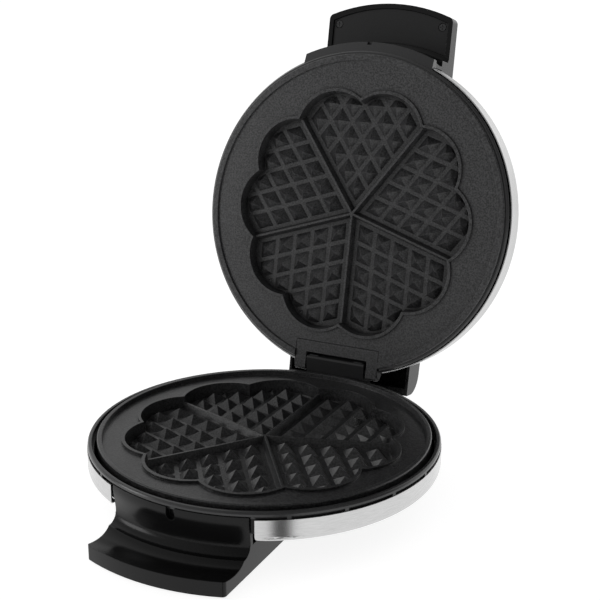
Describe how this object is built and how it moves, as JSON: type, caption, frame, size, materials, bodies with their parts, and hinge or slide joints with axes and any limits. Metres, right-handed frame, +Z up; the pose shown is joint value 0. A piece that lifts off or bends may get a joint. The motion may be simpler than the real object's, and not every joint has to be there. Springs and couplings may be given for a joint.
{
  "type": "waffle maker",
  "caption": "Round electric waffle maker, open: heart-pattern plates in a brushed steel body with black handles and a rear hinge.",
  "frame": {"origin": "on the table, under the middle of the open object's box", "axes": "+Y from the front grip to the hinge, +Z up, +X to the right seen from the front"},
  "size_m": [0.2268, 0.3388, 0.2913],
  "materials": {
    "housing_black": "satin black heat-resistant moulding, fine texture",
    "cover_black": "fine matt black moulding",
    "bezel_black": "smooth black moulding",
    "knob_black": "satin black",
    "foot_rubber": "matt",
    "band_steel": "brushed round its length",
    "nonstick_coat": "dark grey non-stick coat with fine grain on cast aluminium",
    "bracket_coat": "matt dark coat",
    "heater_sheath": "dull heat-tinted tube",
    "reflector_sheet": "bright rolled sheet",
    "zinc_steel": "zinc plated",
    "screw_steel": "zinc plated, dark recess",
    "pin_steel": "turned",
    "terminal_white": "matt",
    "lead_sleeve": "braided glass sleeve",
    "thermostat_body": "unglazed steatite",
    "lens_red": "clear red",
    "lens_green": "clear green",
    "pointer_white": "white inlay"
  },
  "bodies": {
    "base": {"lower_housing": "housing_black", "bottom_cover": "cover_black", "bottom_cover_screws": "screw_steel", "rubber_feet": "foot_rubber", "steel_band": "band_steel", "lower_bezel_ring": "bezel_black", "lower_plate": "nonstick_coat", "lower_heating_element": "heater_sheath", "lower_heat_reflector": "reflector_sheet", "lower_plate_spacers": "zinc_steel", "lower_plate_screws": "screw_steel", "hinge_block": "housing_black", "hinge_block_screws": "screw_steel", "hinge_pin": "pin_steel", "hinge_pin_clips": "pin_steel", "terminal_block": "terminal_white", "base_leads": "lead_sleeve", "cable_gland": "cover_black", "cord_clamp": "cover_black", "cord_clamp_screws": "screw_steel"},
    "lid": {"upper_handle": "housing_black", "handle_cover": "cover_black", "handle_cover_screws": "screw_steel", "lid_shell": "band_steel", "lid_bezel_ring": "bezel_black", "upper_plate": "nonstick_coat", "upper_heating_element": "heater_sheath", "upper_heat_reflector": "reflector_sheet", "upper_plate_spacers": "zinc_steel", "upper_plate_screws": "screw_steel", "hinge_bracket": "bracket_coat", "hinge_bracket_screws": "screw_steel", "thermostat": "thermostat_body", "thermostat_bracket": "zinc_steel", "thermal_fuse": "pin_steel", "lamp_carrier": "cover_black", "indicator_lens_red": "lens_red", "indicator_lens_green": "lens_green", "lid_leads": "lead_sleeve"},
    "knob": {"control_knob": "knob_black", "knob_pointer": "pointer_white", "knob_shaft": "pin_steel"}
  },
  "joints": [
    {"name": "lid_hinge", "type": "hinge", "parent": "base", "child": "lid", "pos_m": [0, 0.07501, 0.0444], "axis": [1, 0, 0], "range_deg": [0, 101.5]},
    {"name": "browning_knob", "type": "hinge", "parent": "lid", "child": "knob", "pos_m": [0, 0.15229, 0.20308], "axis": [0, 0.9799, -0.1994], "range_deg": [0, 270]}
  ]
}
